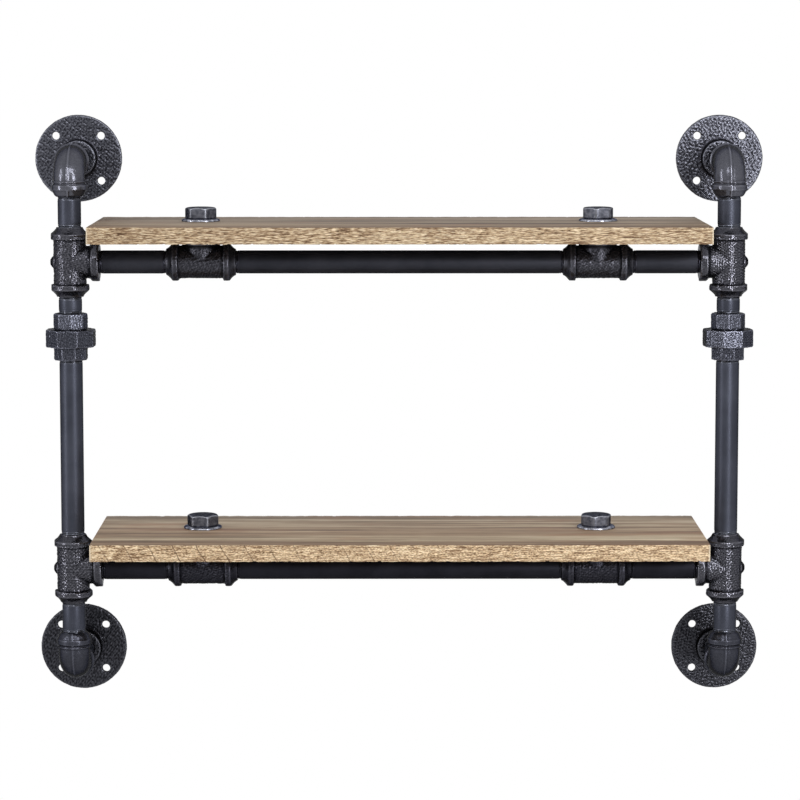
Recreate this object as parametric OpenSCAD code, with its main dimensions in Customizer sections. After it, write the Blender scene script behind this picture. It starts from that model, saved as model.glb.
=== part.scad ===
// Two-tier wall shelf built from screwed pipework.
// Four floor flanges hold two side frames of tube, elbows, tees and unions. A crossbar at each
// level joins the frames and lifts a board on two support tees, and hex plugs clamp it down.
// The wall is the plane y = 0 and the room lies at negative y, with x to the right and z up.
// The origin is on the wall, at the centre of the rectangle of flange centres.

/* [Layout] */
// Distance between the left and right flange centres
flange_span_x = 671; // [560:1:1000]
// Distance between the two crossbar axes
crossbar_span_z = 315.4; // [220:0.1:600]
// Stretch of a riser pipe that shows between its elbow and its upright tee
riser_shown = 30.6; // [10:0.1:150]
// Distance from the wall to the plane of the side frames' axes
wall_offset = 97.5; // [75:0.5:130]
// Distance from the end of a board to its nearest support tee
support_inset = 106; // [60:1:220]
// Drop from the upper crossbar axis to the top of the union
union_drop = 52.3; // [45:0.1:120]

/* [Tube] */
// Outside diameter of every tube
tube_d = 23.7; // [20:0.1:26]
// Wall of every tube
tube_wall = 2; // [1.2:0.1:3]

/* [Fittings] */
// Wall of a fitting round its socket
fitting_wall = 4.3; // [3:0.1:5]
// Rise of a band above the body of its fitting
band_rise = 2.9; // [1.5:0.1:4]
// Width of the band at a lipped end
band_w = 6.3; // [4:0.1:7]
// Chamfer on the edges of a band
band_edge = 0.9; // [0.3:0.1:1.4]
// Length of the tapered lip beyond the band
lip_h = 6.5; // [4:0.1:7]
// Wall of the lip at its tip
lip_wall = 0.9; // [0.5:0.1:2]
// Centre of a tee or elbow to the tip of its lip
fitting_reach = 35.6; // [33:0.1:40]
// Depth of the socket behind a lip
socket_depth = 17.6; // [12:0.1:19]
// Rise of the band on an elbow, whose lip is rounded
elbow_band_rise = 1.9; // [1:0.1:3]
// Width of the bead behind that band
elbow_bead_w = 1.8; // [0.8:0.1:2.4]
// Radius of the inside corner of an elbow
elbow_throat_r = 1.75; // [1:0.05:4]
// Upright tee's centre to the flat face of its branch
branch_reach = 30.4; // [28:0.1:38]
// Width of the band at the face of that branch
branch_band_w = 7.4; // [4:0.1:9]
// Depth of the socket in that branch
branch_depth = 13; // [10:0.1:14]
// Support tee's centre to the flat face that the board rests on
support_reach = 24.7; // [24:0.1:32]
// Depth of the socket in a support tee's branch
support_depth = 11; // [10:0.1:12]

/* [Floor flange] */
// Diameter of the plate
flange_d = 91; // [88:0.5:110]
// Thickness of the plate
flange_t = 6; // [4:0.1:8]
// Rounding of the plate's front rim
flange_edge = 1.6; // [0.5:0.1:3]
// Height of the hub above the wall
hub_h = 18; // [14:0.5:24]
// Wall of the hub round its socket
hub_wall = 7.2; // [5:0.1:8]
// Radius of the fillet at the foot of the hub
hub_fillet = 2.6; // [1:0.1:4]
// Iron left between the wall and the end of the nipple
flange_floor = 4; // [2:0.1:6]
// Diameter of the circle of bolt holes
bolt_circle_d = 66.5; // [62:0.5:74]
// Diameter of a bolt hole
bolt_hole_d = 7.8; // [5:0.1:9]
// Number of bolt holes
bolt_count = 4; // [3:1:6]
// Chamfer at the mouth of a bolt hole
bolt_hole_edge = 0.6; // [0.2:0.1:1]

/* [Union] */
// Tail piece across its flats
tail_af = 32.7; // [31.5:0.1:36]
// Height of the tail piece above the nut
tail_h = 16.4; // [14:0.1:24]
// Nut across its flats
nut_af = 48.8; // [47:0.1:56]
// Height of the nut
nut_h = 18; // [16:0.1:24]
// Wall of the nut round its thread
nut_wall = 4.5; // [3:0.1:5]
// Thickness of the nut's top, which pulls the tail piece down
nut_top_t = 4; // [3:0.1:5]
// Thread piece across its flats
thread_af = 33.1; // [31.5:0.1:36]
// Height of the thread piece below the nut
thread_h = 13.4; // [12:0.1:24]
// Thickness of the tail piece's collar inside the nut
collar_t = 4.6; // [3:0.1:6]
// Rise of the coned seat between the two pieces
seat_rise = 1.6; // [0.5:0.1:2.5]
// Depth of the sockets at the two ends of the union
union_depth = 11; // [8:0.1:12]
// Chamfer on the ends of the eight-sided pieces
octagon_edge = 1.1; // [0.4:0.1:1.6]

/* [Board] */
// Gap between the end of a board and the bands of its upright tees
board_end_gap = 8.35; // [3:0.05:60]
// Depth of a board from its rear edge to its front edge
board_depth = 180.4; // [160:0.5:260]
// Thickness of a board
board_t = 17; // [12:0.5:30]
// Gap between the wall and the rear edge of a board
board_rear_gap = 22.6; // [5:0.1:40]
// Easing of a board's long edges
board_edge = 0.7; // [0.3:0.1:2]

/* [Hex plug] */
// Plug head across its flats
plug_af = 29.2; // [27:0.1:32]
// Height of the plug head
plug_head_h = 11; // [8:0.1:16]
// Drop of the crowned top of the head at its corners
plug_crown = 2.8; // [1:0.1:4]
// Length of the plug inside its support tee
plug_grip = 9; // [6:0.1:9.5]
// Diameter of the hollow core of the plug
plug_core_d = 14; // [8:0.1:16]
// Diameter of the washer under the plug head
washer_d = 39; // [36:0.5:46]
// Thickness of the washer under the plug head
washer_t = 3.2; // [2:0.1:5]
// Thickness of the washer at its rim
washer_rim_t = 1.2; // [0.6:0.1:1.8]
// Width of the sloped ring between the rim and the flat under the head
washer_slope_w = 4; // [2:0.1:5]

/* [End screw] */
// Diameter of the screw through an upright tee into its crossbar
screw_d = 8; // [5:0.1:10]
// Length of the screw under its head
screw_len = 46; // [40:1:50]
// Diameter of the screw's button head
screw_head_d = 13.4; // [12:0.1:15]
// Height of the button head
screw_head_h = 3.9; // [3:0.1:6]
// Six-sided recess in the head, across its flats
screw_key_af = 5; // [3:0.1:6]
// Depth of that recess
screw_key_depth = 2.2; // [1:0.1:2.6]
// Height of the seat for the head above the tee's body
screw_pad_h = 0.3; // [0.1:0.1:2]
// Length of the threaded insert in the end of a crossbar
insert_len = 16; // [10:0.5:24]

/* [Clearances] */
// Gap between a tube and its socket, at each side
fit_gap = 0.1; // [0.05:0.05:0.2]
// Gap round a plug in its board and its washer, at each side
plug_gap = 1; // [0.5:0.1:2]
// Gap round a screw, at each side
screw_gap = 0.1; // [0.05:0.05:0.3]
// Gap round the union's tail piece and thread piece inside the nut
nut_gap = 0.2; // [0.1:0.05:0.4]

/* [Turn of the fittings] */
// Turn of the left plugs from a corner that points to the front
plug_turn_left = 21.2; // [-30:0.1:30]
// Turn of the right plugs
plug_turn_right = -11.5; // [-30:0.1:30]
// Turn of the left nut from a corner that points to the front
nut_turn_left = 19.9; // [-22.5:0.1:22.5]
// Turn of the right nut
nut_turn_right = -16.7; // [-22.5:0.1:22.5]
// Turn of the left thread piece
thread_turn_left = 19.8; // [-22.5:0.1:22.5]
// Turn of the right thread piece
thread_turn_right = 15.6; // [-22.5:0.1:22.5]
// Turn of the left tail piece
tail_turn_left = 6.5; // [-22.5:0.1:22.5]
// Turn of the right tail piece
tail_turn_right = -4.4; // [-22.5:0.1:22.5]

/* [Hidden] */
SIDES = ["left", "right"];
LEVELS = ["upper", "lower"];
CORNER_PIECES = ["wall_flange", "flange_nipple", "elbow", "riser_pipe", "upright_tee",
    "side_crossbar", "support_tee"];
SIDE_PIECES = ["union_nipple", "union_tail", "union_nut", "union_thread_piece", "upright_pipe"];
LEVEL_PIECES = ["centre_crossbar", "shelf_board"];
$fn = 64;

// How far a cut runs past the face that it opens
overrun = 1;
// Number of straight steps in a curved stretch of a turned outline
curve_steps = 4;
// Shape of a lip between its band and its tip: above 1 it is hollowed, below 1 it is rounded
lip_power = 1.6;
elbow_lip_power = 0.55;
// Shape of the washer's sloped ring: below 1 it bulges
washer_power = 0.55;
// Height of the union's chamfers as a share of their width
octagon_edge_share = 1.6;

iron_colour = "#3d3f48";
tube_colour = "#43464f";
steel_colour = "#4c505a";
screw_colour = "#202126";
board_colour = "#a88f74";

// Places of the side frames, crossbars and flanges
side_x = flange_span_x / 2;
crossbar_z = crossbar_span_z / 2;
flange_z = crossbar_z + 2 * fitting_reach + riser_shown;

// The bores and sockets follow the tube
tube_r = tube_d / 2;
bore_r = tube_r - tube_wall;
socket_r = tube_r + fit_gap;

// Turned outline of a tee or elbow
body_r = socket_r + fitting_wall;
band_r = body_r + band_rise;
lip_r = socket_r + lip_wall;
band_top = fitting_reach - lip_h;
band_foot = band_top - band_w;
shoulder = fitting_reach - socket_depth;
branch_shoulder = branch_reach - branch_depth;
support_shoulder = support_reach - support_depth;
bend_r = body_r + elbow_throat_r;

// Half the length of a board, which fits between the upright tees, and the places of its supports
board_half = side_x - band_r - board_end_gap;
support_x = board_half - support_inset;

// Heights along a side frame, from the union's top downwards
union_top = crossbar_z - union_drop;
nut_top = union_top - tail_h;
collar_top = nut_top - nut_top_t;
seat_z = collar_top - collar_t;
nut_foot = nut_top - nut_h;
union_foot = nut_foot - thread_h;
nut_thread_r = nut_af / 2 - nut_wall;
collar_r = nut_thread_r - nut_gap;
neck_r = (tail_af - octagon_edge) / 2;
seat_r = (collar_r + bore_r) / 2;

// The screw's seat and the board's faces
screw_seat = body_r + screw_pad_h;
board_foot = support_reach;
board_top = board_foot + board_t;
plug_hole_r = tube_r + plug_gap;

// 1 on the right and on the upper level, -1 on the left and on the lower level
function side_sign(side) = side == "left" ? -1 : 1;
function level_sign(level) = level == "lower" ? -1 : 1;

// Radius of the corners of an even-sided shape that measures flats across its flats
function corner_r(flats, sides) = flats / 2 / cos(180 / sides);

// Tube from z = 0 up to its length
module tube(length) {
    difference() {
        cylinder(h = length, r = tube_r);
        translate([0, 0, -overrun]) cylinder(h = length + 2 * overrun, r = bore_r);
    }
}

// Round cut from one height on z to another
module round_cut(radius, from, to) {
    translate([0, 0, from]) cylinder(h = to - from, r = radius);
}

// Arm of a fitting along z: body, band and lip, solid, from a height to the lip's tip
module lipped_arm(from, rise = band_rise, power = lip_power, bead_w = 0) {
    ridge_r = body_r + rise;
    shoulder_r = ridge_r - band_edge;
    bead = bead_w == 0 ? [] : [
        [body_r, band_foot - 2 * bead_w],
        [body_r + rise / 2, band_foot - 1.7 * bead_w],
        [body_r + rise / 2, band_foot - 1.3 * bead_w],
        [body_r, band_foot - bead_w]
    ];
    lip = [
        for (i = [1:curve_steps])
            let (share = i / curve_steps)
                [lip_r + (shoulder_r - lip_r) * pow(1 - share, power), band_top + lip_h * share]
    ];
    rotate_extrude() polygon(concat(
        [[0, from], [body_r, from]],
        bead,
        [
            [body_r, band_foot],
            [shoulder_r, band_foot],
            [ridge_r, band_foot + band_edge],
            [ridge_r, band_top - band_edge],
            [shoulder_r, band_top]
        ],
        lip,
        [[0, fitting_reach]]
    ));
}

// Arm of a fitting along z with a band at its flat face, solid, from the fitting's centre
module flat_arm(reach, width) {
    rotate_extrude() polygon([
        [0, 0],
        [body_r, 0],
        [body_r, reach - width - band_rise],
        [band_r, reach - width],
        [band_r, reach - band_edge],
        [band_r - band_edge, reach],
        [0, reach]
    ]);
}

// Tee with its run along z and its branch along x
module tee(reach, width, branch_seat) {
    difference() {
        union() {
            lipped_arm(0);
            mirror([0, 0, 1]) lipped_arm(0);
            rotate([0, 90, 0]) flat_arm(reach, width);
        }
        round_cut(bore_r, -shoulder - overrun, shoulder + overrun);
        round_cut(socket_r, shoulder, fitting_reach + overrun);
        round_cut(socket_r, -fitting_reach - overrun, -shoulder);
        rotate([0, 90, 0]) {
            round_cut(bore_r, 0, branch_seat + overrun);
            round_cut(socket_r, branch_seat, reach + overrun);
        }
    }
}

// Places a piece of the upper right corner at any corner, by mirroring it
module at_corner(level, side) {
    mirror([side == "left" ? 1 : 0, 0, 0])
        mirror([0, 0, level == "lower" ? 1 : 0])
            children();
}

// Turns a piece that stands on z so that it stands out from the wall on a flange's axis
module on_flange_axis() {
    translate([side_x, 0, flange_z]) rotate([90, 0, 0]) children();
}

// Floor flange: plate with bolt holes, and a hub with the socket for its nipple
module wall_flange(level, side) {
    flange_r = flange_d / 2;
    hub_r = socket_r + hub_wall;
    fillet = [
        for (i = [0:curve_steps])
            let (angle = 90 * i / curve_steps)
                [hub_r + hub_fillet * (1 - sin(angle)), flange_t + hub_fillet * (1 - cos(angle))]
    ];
    rim = [
        for (i = [0:curve_steps])
            let (angle = 90 * i / curve_steps)
                [flange_r - flange_edge * (1 - cos(angle)), flange_t - flange_edge * (1 - sin(angle))]
    ];
    color(iron_colour) at_corner(level, side) on_flange_axis() difference() {
        rotate_extrude() polygon(concat(
            [[0, 0], [flange_r, 0]],
            rim,
            fillet,
            [[hub_r, hub_h - band_edge], [hub_r - band_edge, hub_h], [0, hub_h]]
        ));
        round_cut(bore_r, -overrun, flange_floor + overrun);
        round_cut(socket_r, flange_floor, hub_h + overrun);
        for (i = [0:bolt_count - 1]) rotate(360 * (i + 0.5) / bolt_count) translate([bolt_circle_d / 2, 0, 0]) {
            round_cut(bolt_hole_d / 2, -overrun, flange_t + overrun);
            translate([0, 0, flange_t - bolt_hole_edge])
                cylinder(h = 2 * bolt_hole_edge, r1 = bolt_hole_d / 2, r2 = bolt_hole_d / 2 + 2 * bolt_hole_edge);
        }
    }
}

// Short tube from a flange to its elbow
module flange_nipple(level, side) {
    color(tube_colour) at_corner(level, side) on_flange_axis()
        translate([0, 0, flange_floor]) tube(wall_offset - shoulder - flange_floor);
}

// Elbow between a flange nipple and a riser pipe
module elbow(level, side) {
    color(iron_colour) at_corner(level, side) translate([side_x, -wall_offset, flange_z]) difference() {
        union() {
            mirror([0, 0, 1]) elbow_arm();
            rotate([-90, 0, 0]) elbow_arm();
            elbow_bend() circle(body_r);
        }
        elbow_bend() circle(bore_r);
        mirror([0, 0, 1]) elbow_bore();
        rotate([-90, 0, 0]) elbow_bore();
    }
}

// Straight arm of an elbow, beyond its bend
module elbow_arm() {
    lipped_arm(bend_r, elbow_band_rise, elbow_lip_power, elbow_bead_w);
}

// Sweeps a round shape through the quarter turn from the arm along y to the arm down z
module elbow_bend() {
    translate([0, bend_r, -bend_r]) rotate([90, 0, 90]) rotate([0, 0, 90])
        rotate_extrude(angle = 90) translate([bend_r, 0]) children();
}

// Straight bore and socket in one arm of an elbow
module elbow_bore() {
    round_cut(bore_r, bend_r, fitting_reach + overrun);
    round_cut(socket_r, shoulder, fitting_reach + overrun);
}

// Tube between an elbow and its upright tee
module riser_pipe(level, side) {
    foot = crossbar_z + shoulder;
    color(tube_colour) at_corner(level, side) translate([side_x, -wall_offset, foot])
        tube(flange_z - shoulder - foot);
}

// Tee on a side frame, with its branch to the crossbar and a seat for the end screw opposite
module upright_tee(level, side) {
    pad_r = (screw_head_d + band_edge) / 2;
    color(iron_colour) at_corner(level, side) translate([side_x, -wall_offset, crossbar_z]) difference() {
        union() {
            mirror([1, 0, 0]) tee(branch_reach, branch_band_w, branch_shoulder);
            rotate([0, 90, 0]) difference() {
                round_cut(pad_r, bore_r, screw_seat);
                rotate([0, 90, 0]) round_cut(bore_r, -shoulder, shoulder);
            }
        }
        rotate([0, 90, 0]) round_cut(screw_d / 2 + screw_gap, 0, screw_seat + overrun);
    }
}

// Tube between an upright tee and its support tee
module side_crossbar(level, side) {
    inner_end = support_x + shoulder;
    color(tube_colour) at_corner(level, side) translate([inner_end, -wall_offset, crossbar_z])
        rotate([0, 90, 0]) tube(side_x - branch_shoulder - inner_end);
}

// Tee on a crossbar, with its branch up under the board
module support_tee(level, side) {
    color(iron_colour)
        translate([side_sign(side) * support_x, -wall_offset, level_sign(level) * crossbar_z])
            rotate([0, -90, 0]) tee(support_reach, band_w, support_shoulder);
}

// Tube between the two support tees of a level
module centre_crossbar(level) {
    half = support_x - shoulder;
    color(tube_colour) translate([-half, -wall_offset, level_sign(level) * crossbar_z])
        rotate([0, 90, 0]) tube(2 * half);
}

// Eight-sided outline with chamfered ends, solid, from one height on z to another
module octagon_bar(flats, from, to) {
    corner = corner_r(flats, 8);
    intersection() {
        translate([0, 0, from]) cylinder(h = to - from, r = corner, $fn = 8);
        rotate_extrude() polygon([
            [0, from],
            [corner - octagon_edge, from],
            [corner, from + octagon_edge * octagon_edge_share],
            [corner, to - octagon_edge * octagon_edge_share],
            [corner - octagon_edge, to],
            [0, to]
        ]);
    }
}

// Stands a piece on a side frame, with a corner of it to the front and then turned
module on_side_frame(side, turn) {
    translate([side_sign(side) * side_x, -wall_offset, 0]) rotate(turn - 90) children();
}

// Short tube between the upper tee and the union
module union_nipple(side) {
    foot = union_top - union_depth;
    color(tube_colour) on_side_frame(side, 0) translate([0, 0, foot]) tube(crossbar_z - shoulder - foot);
}

// Upper piece of the union, which the nut draws down by its collar
module union_tail(side) {
    color(iron_colour) on_side_frame(side, side == "left" ? tail_turn_left : tail_turn_right) difference() {
        union() {
            octagon_bar(tail_af, nut_top, union_top);
            rotate_extrude() polygon([
                [0, seat_z - seat_rise],
                [bore_r, seat_z - seat_rise],
                [seat_r, seat_z],
                [collar_r, seat_z],
                [collar_r, collar_top],
                [neck_r, collar_top],
                [neck_r, nut_top + octagon_edge],
                [0, nut_top + octagon_edge]
            ]);
        }
        round_cut(bore_r, seat_z - seat_rise - overrun, union_top);
        round_cut(socket_r, union_top - union_depth, union_top + overrun);
    }
}

// Eight-sided nut of the union
module union_nut(side) {
    color(iron_colour) on_side_frame(side, side == "left" ? nut_turn_left : nut_turn_right) difference() {
        octagon_bar(nut_af, nut_foot, nut_top);
        round_cut(neck_r + nut_gap, collar_top - overrun, nut_top + overrun);
        round_cut(nut_thread_r, nut_foot - overrun, collar_top);
    }
}

// Lower piece of the union, with the thread for the nut and the hollow seat for the tail piece
module union_thread_piece(side) {
    thread_foot = nut_foot + nut_gap;
    color(iron_colour) on_side_frame(side, side == "left" ? thread_turn_left : thread_turn_right) difference() {
        union() {
            octagon_bar(thread_af, union_foot, thread_foot + octagon_edge);
            round_cut(collar_r, thread_foot, seat_z);
        }
        rotate_extrude() polygon([
            [0, seat_z + overrun],
            [seat_r, seat_z + overrun],
            [seat_r, seat_z],
            [bore_r, seat_z - seat_rise],
            [0, seat_z - seat_rise]
        ]);
        round_cut(bore_r, union_foot, seat_z);
        round_cut(socket_r, union_foot - overrun, union_foot + union_depth);
    }
}

// Long tube between the union and the lower tee
module upright_pipe(side) {
    foot = shoulder - crossbar_z;
    color(tube_colour) on_side_frame(side, 0) translate([0, 0, foot]) tube(union_foot + union_depth - foot);
}

// Puts a piece over each support tee of a level
module at_supports(level) {
    for (side = SIDES)
        translate([side_sign(side) * support_x, -wall_offset, level_sign(level) * crossbar_z])
            rotate((side == "left" ? plug_turn_left : plug_turn_right) - 90)
                children();
}

// Board with a hole over each support tee
module shelf_board(level) {
    rear = -board_rear_gap;
    front = rear - board_depth;
    color(board_colour) difference() {
        translate([-board_half, 0, level_sign(level) * crossbar_z]) rotate([90, 0, 90])
            linear_extrude(2 * board_half) polygon([
                [front + board_edge, board_foot],
                [rear - board_edge, board_foot],
                [rear, board_foot + board_edge],
                [rear, board_top - board_edge],
                [rear - board_edge, board_top],
                [front + board_edge, board_top],
                [front, board_top - board_edge],
                [front, board_foot + board_edge]
            ]);
        at_supports(level) round_cut(plug_hole_r, board_foot - overrun, board_top + overrun);
    }
}

// Plug with a six-sided head, through the board into the support tee
module hex_plug() {
    head_foot = board_top + washer_t;
    head_top = head_foot + plug_head_h;
    corner = corner_r(plug_af, 6);
    difference() {
        union() {
            intersection() {
                translate([0, 0, head_foot]) cylinder(h = plug_head_h, r = corner, $fn = 6);
                rotate_extrude() polygon(concat(
                    [[0, head_foot], [corner, head_foot]],
                    [
                        for (i = [0:curve_steps])
                            let (share = i / curve_steps)
                                [corner * (1 - share / 3), head_top - plug_crown * pow(1 - share, 2)]
                    ],
                    [[0, head_top]]
                ));
            }
            round_cut(tube_r, board_foot - plug_grip, head_foot);
        }
        round_cut(plug_core_d / 2, board_foot - plug_grip - overrun, board_top);
    }
}

// The four plugs
module hex_plugs() {
    color(steel_colour) for (level = LEVELS) at_supports(level) hex_plug();
}

// The four washers under the plug heads
module plug_washers() {
    washer_r = washer_d / 2;
    color(steel_colour) for (level = LEVELS) at_supports(level) difference() {
        translate([0, 0, board_top]) rotate_extrude() polygon(concat(
            [[0, 0], [washer_r, 0], [washer_r, washer_rim_t]],
            [
                for (i = [1:curve_steps])
                    let (share = i / curve_steps, rise = washer_t - washer_rim_t)
                        [washer_r - washer_slope_w * share, washer_rim_t + rise * pow(share, washer_power)]
            ],
            [[0, washer_t]]
        ));
        round_cut(tube_r + fit_gap, board_top - overrun, board_top + washer_t + overrun);
    }
}

// Turns a piece on z into the outer end of each crossbar, with z towards the middle
module at_crossbar_ends() {
    for (level = LEVELS, side = SIDES)
        at_corner(level, side) translate([side_x, -wall_offset, crossbar_z]) rotate([0, -90, 0]) children();
}

// The four button-head screws
module end_screws() {
    // The head's dome is the cap of a ball that is as high as the head and as wide at its rim
    dome_r = (pow(screw_head_d / 2, 2) + pow(screw_head_h, 2)) / 2 / screw_head_h;
    color(screw_colour) at_crossbar_ends() translate([0, 0, -screw_seat]) difference() {
        union() {
            cylinder(h = screw_len, r = screw_d / 2);
            intersection() {
                translate([0, 0, dome_r - screw_head_h]) sphere(dome_r);
                translate([0, 0, -screw_head_h]) cylinder(h = screw_head_h, r = screw_head_d);
            }
        }
        translate([0, 0, -screw_head_h - overrun])
            cylinder(h = screw_key_depth + overrun, r = corner_r(screw_key_af, 6), $fn = 6);
    }
}

// The four threaded inserts, flush with the ends of the crossbars
module end_inserts() {
    color(steel_colour) at_crossbar_ends() difference() {
        round_cut(bore_r - fit_gap, branch_shoulder, branch_shoulder + insert_len);
        round_cut(screw_d / 2 + screw_gap, branch_shoulder - overrun, branch_shoulder + insert_len + overrun);
    }
}

for (level = LEVELS, side = SIDES) {
    corner = str("_", level, "_", side);
    wall_flange(level, side);
    flange_nipple(level, side);
    elbow(level, side);
    riser_pipe(level, side);
    upright_tee(level, side);
    side_crossbar(level, side);
    support_tee(level, side);
}
for (side = SIDES) {
    union_nipple(side);
    union_tail(side);
    union_nut(side);
    union_thread_piece(side);
    upright_pipe(side);
}
for (level = LEVELS) {
    centre_crossbar(level);
    shelf_board(level);
}
hex_plugs();
plug_washers();
end_screws();
end_inserts();
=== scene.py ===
"""Looks of the two-tier wall shelf: cast fittings, pipes, rough-sawn boards and steel plugs round the frame.

Lengths are in metres. The wall is y = 0, the room lies at negative y, x runs to the right and z up.
"""
import math

import bmesh
import bpy
import numpy as np
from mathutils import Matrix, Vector


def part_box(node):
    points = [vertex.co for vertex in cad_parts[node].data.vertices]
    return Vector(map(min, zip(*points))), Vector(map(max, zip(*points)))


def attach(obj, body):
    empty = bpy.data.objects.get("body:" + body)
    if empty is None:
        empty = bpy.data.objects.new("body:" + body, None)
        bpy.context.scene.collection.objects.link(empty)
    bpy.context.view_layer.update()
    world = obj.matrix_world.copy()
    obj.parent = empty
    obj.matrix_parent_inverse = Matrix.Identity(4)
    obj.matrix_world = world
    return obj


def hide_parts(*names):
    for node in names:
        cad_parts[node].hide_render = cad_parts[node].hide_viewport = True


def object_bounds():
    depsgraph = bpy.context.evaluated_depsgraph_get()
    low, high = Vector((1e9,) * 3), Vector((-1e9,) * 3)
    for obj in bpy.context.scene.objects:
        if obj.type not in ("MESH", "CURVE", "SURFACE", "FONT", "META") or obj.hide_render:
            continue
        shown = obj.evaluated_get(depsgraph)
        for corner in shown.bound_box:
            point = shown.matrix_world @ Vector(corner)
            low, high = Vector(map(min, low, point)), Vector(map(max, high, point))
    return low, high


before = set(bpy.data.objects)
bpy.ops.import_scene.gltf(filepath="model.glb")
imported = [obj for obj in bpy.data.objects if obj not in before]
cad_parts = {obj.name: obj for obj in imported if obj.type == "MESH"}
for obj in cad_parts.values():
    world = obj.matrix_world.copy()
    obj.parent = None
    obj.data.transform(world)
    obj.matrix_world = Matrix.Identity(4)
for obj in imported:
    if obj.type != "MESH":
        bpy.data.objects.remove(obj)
cad_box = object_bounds()

MM = 0.001
TAU = 2 * math.pi
X, Y, Z = range(3)
LOW, HIGH = range(2)
SIDES = ("left", "right")
LEVELS = ("upper", "lower")
CORNERS = [f"{level}_{side}" for level in LEVELS for side in SIDES]
HEX_SIDES = 6

# Random relief: how many waves are added up, and the spread of their frequencies
WAVE_COUNT = 28
WAVE_SPREAD = (0.6, 1.4)

# First random seed of each kind of piece
FLANGE_SEED = 100
ELBOW_SEED = 200
UPRIGHT_TEE_SEED = 300
SUPPORT_TEE_SEED = 400
UNION_SEED = 500
UNION_SEED_STEP = 10
BOARD_SEED = 600
BOARD_SEED_STEP = 20

# Cast pieces: grid of the remeshed skin, and depth and size of the sand grain and lumps in it
WELD_GAP = 0.001 * MM
CAST_GRID = 0.8 * MM
FINE_GRID = 0.6 * MM
SOFTENING_FACTOR = 0.5
FITTING_SOFTENING = 2
UNION_SOFTENING = 1
SMOOTH_GRAIN = (0.05 * MM, 2.4 * MM)
TEE_GRAIN = (0.24 * MM, 2.2 * MM)
UNION_GRAIN = (0.20 * MM, 2.0 * MM)
FLANGE_GRAIN = (0.30 * MM, 2.8 * MM)
GRAIN_SINK_SHARE = 0.6
CAST_LUMPS = 0.10 * MM
CAST_LUMP_SIZE = 9 * MM
PARTING_RIDGE = 0.7 * MM
PARTING_WIDTH = 1.2 * MM
RELIEF_ROUNDS = 8
RELIEF_DEPTH = 0.25 * MM

# Banded ends of the tees, where the grain is calmer up to a share of their reach and fades in over another
BAND_REACH = 11 * MM
BAND_EDGE_SHARE = 0.8
BAND_FADE_SHARE = 0.25
CALM_GRAIN = 0.3

# Pipes, and the thread that shows where a pipe leaves its fitting
PIPE_STEPS = 64
PIPE_WALL = 2 * MM
PIPE_CREASE = 50
THREAD_PITCH = 1.81 * MM
THREAD_DEPTH = 0.9 * MM
THREAD_SHOWN = 4.2 * MM
THREAD_HIDDEN = 3.5 * MM
RINGS_PER_PITCH = 6
RUN_SOCKET = 17.6 * MM
BRANCH_SOCKET = 13 * MM
UNION_SOCKET = 11 * MM
FLANGE_SOCKET = 14 * MM

# Boards: steps of the mesh, holes for the plugs, and the slight waves of the top
BOARD_STEP = 0.8 * MM
EDGE_STEP = 1.0 * MM
TOP_STEP = 12 * MM
BOARD_CREASE = 40
HOLE_RADIUS = 12.85 * MM
HOLE_STEPS = 48
DRILL_OVERRUN = 2 * MM
TOP_WAVE = 0.12 * MM
TOP_WAVE_SIZE = 22 * MM
TOP_WAVE_STRETCH = np.array([0.2, 1.0, 1.0])

# Sawn edges of the boards: torn fibres, marks of the saw and growth rings
FIBRE_DEPTH = 0.15 * MM
FIBRE_SIZE = 1.6 * MM
COARSE_FIBRE_SIZE = 3.6 * MM
COARSE_FIBRE_SHARE = 0.7
FIBRE_STRETCH = np.array([0.07, 1.0, 1.0])
SAW_DEPTH = 0.16 * MM
SAW_SPACING = 24 * MM
SAW_LEAN = 0.55
SAW_SHARPNESS = 6
SAW_WANDER = 0.25
SAW_WANDER_SIZE = 60 * MM
GROWTH_STEP = 1.7 * MM
GROWTH_WANDER = 6 * MM
PITH_DROP = 45 * MM

# Arrises of the boards: their width, and the chips in them, which are deeper on the lower ones
ARRIS_WIDTH = 0.35 * MM
ARRIS_CHANGE = 0.15 * MM
ARRIS_SIZE = 14 * MM
ARRIS_APART = 20 * MM
ARRIS_DROP_SHARE = 0.7
CHIP_DEPTH = 1.1 * MM
CHIP_SIZE = 7 * MM
SMALL_CHIP_SIZE = 2.6 * MM
SMALL_CHIP_SHARE = 0.6
CHIP_LEVEL = 0.55
UPPER_CHIP_SHARE = 0.35

# Hex plugs
PLUG_FLATS = 29.2 * MM
PLUG_TURNS = {"left": 21.2, "right": -11.5}
PLUG_STEPS = 144
PLUG_CREASE = 55
SHANK_RADIUS = 11.85 * MM
CORE_RADIUS = 7 * MM
PLUG_GRIP = 9 * MM
PLUG_CENTRE = 0.3 * MM
PLUG_CHAMFER = 0.3 * MM
PLUG_CROWN = 2.8 * MM
CROWN_SHARE = 2 / 3
CAP_SHARE = 0.6
HEAD_ROWS = 26
FIRST_HEAD_ROW = 0.05
CORNER_ROUND = 0.7 * MM

# Wear of the plugs, with a painted highlight on it: from a share of the corner's reach, and within a width of
# the crown's edge
WORN_HIGHLIT_CORNER_SHARE = 0.95
WORN_HIGHLIT_CORNER_FADE = 0.02
WORN_HIGHLIT_CROWN_WIDTH = 0.5 * MM
WORN_HIGHLIT_CROWN_WIDTHS = 1.6

# Washers under the plugs
WASHER_RIM = 1.2 * MM
WASHER_EDGE = 0.2 * MM
WASHER_PLAY = 0.1 * MM
WASHER_SLOPE = 4 * MM
WASHER_POWER = 0.55
WASHER_ROWS = 9
FIRST_WASHER_ROW = 0.04
WASHER_CREASE = 35

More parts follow.
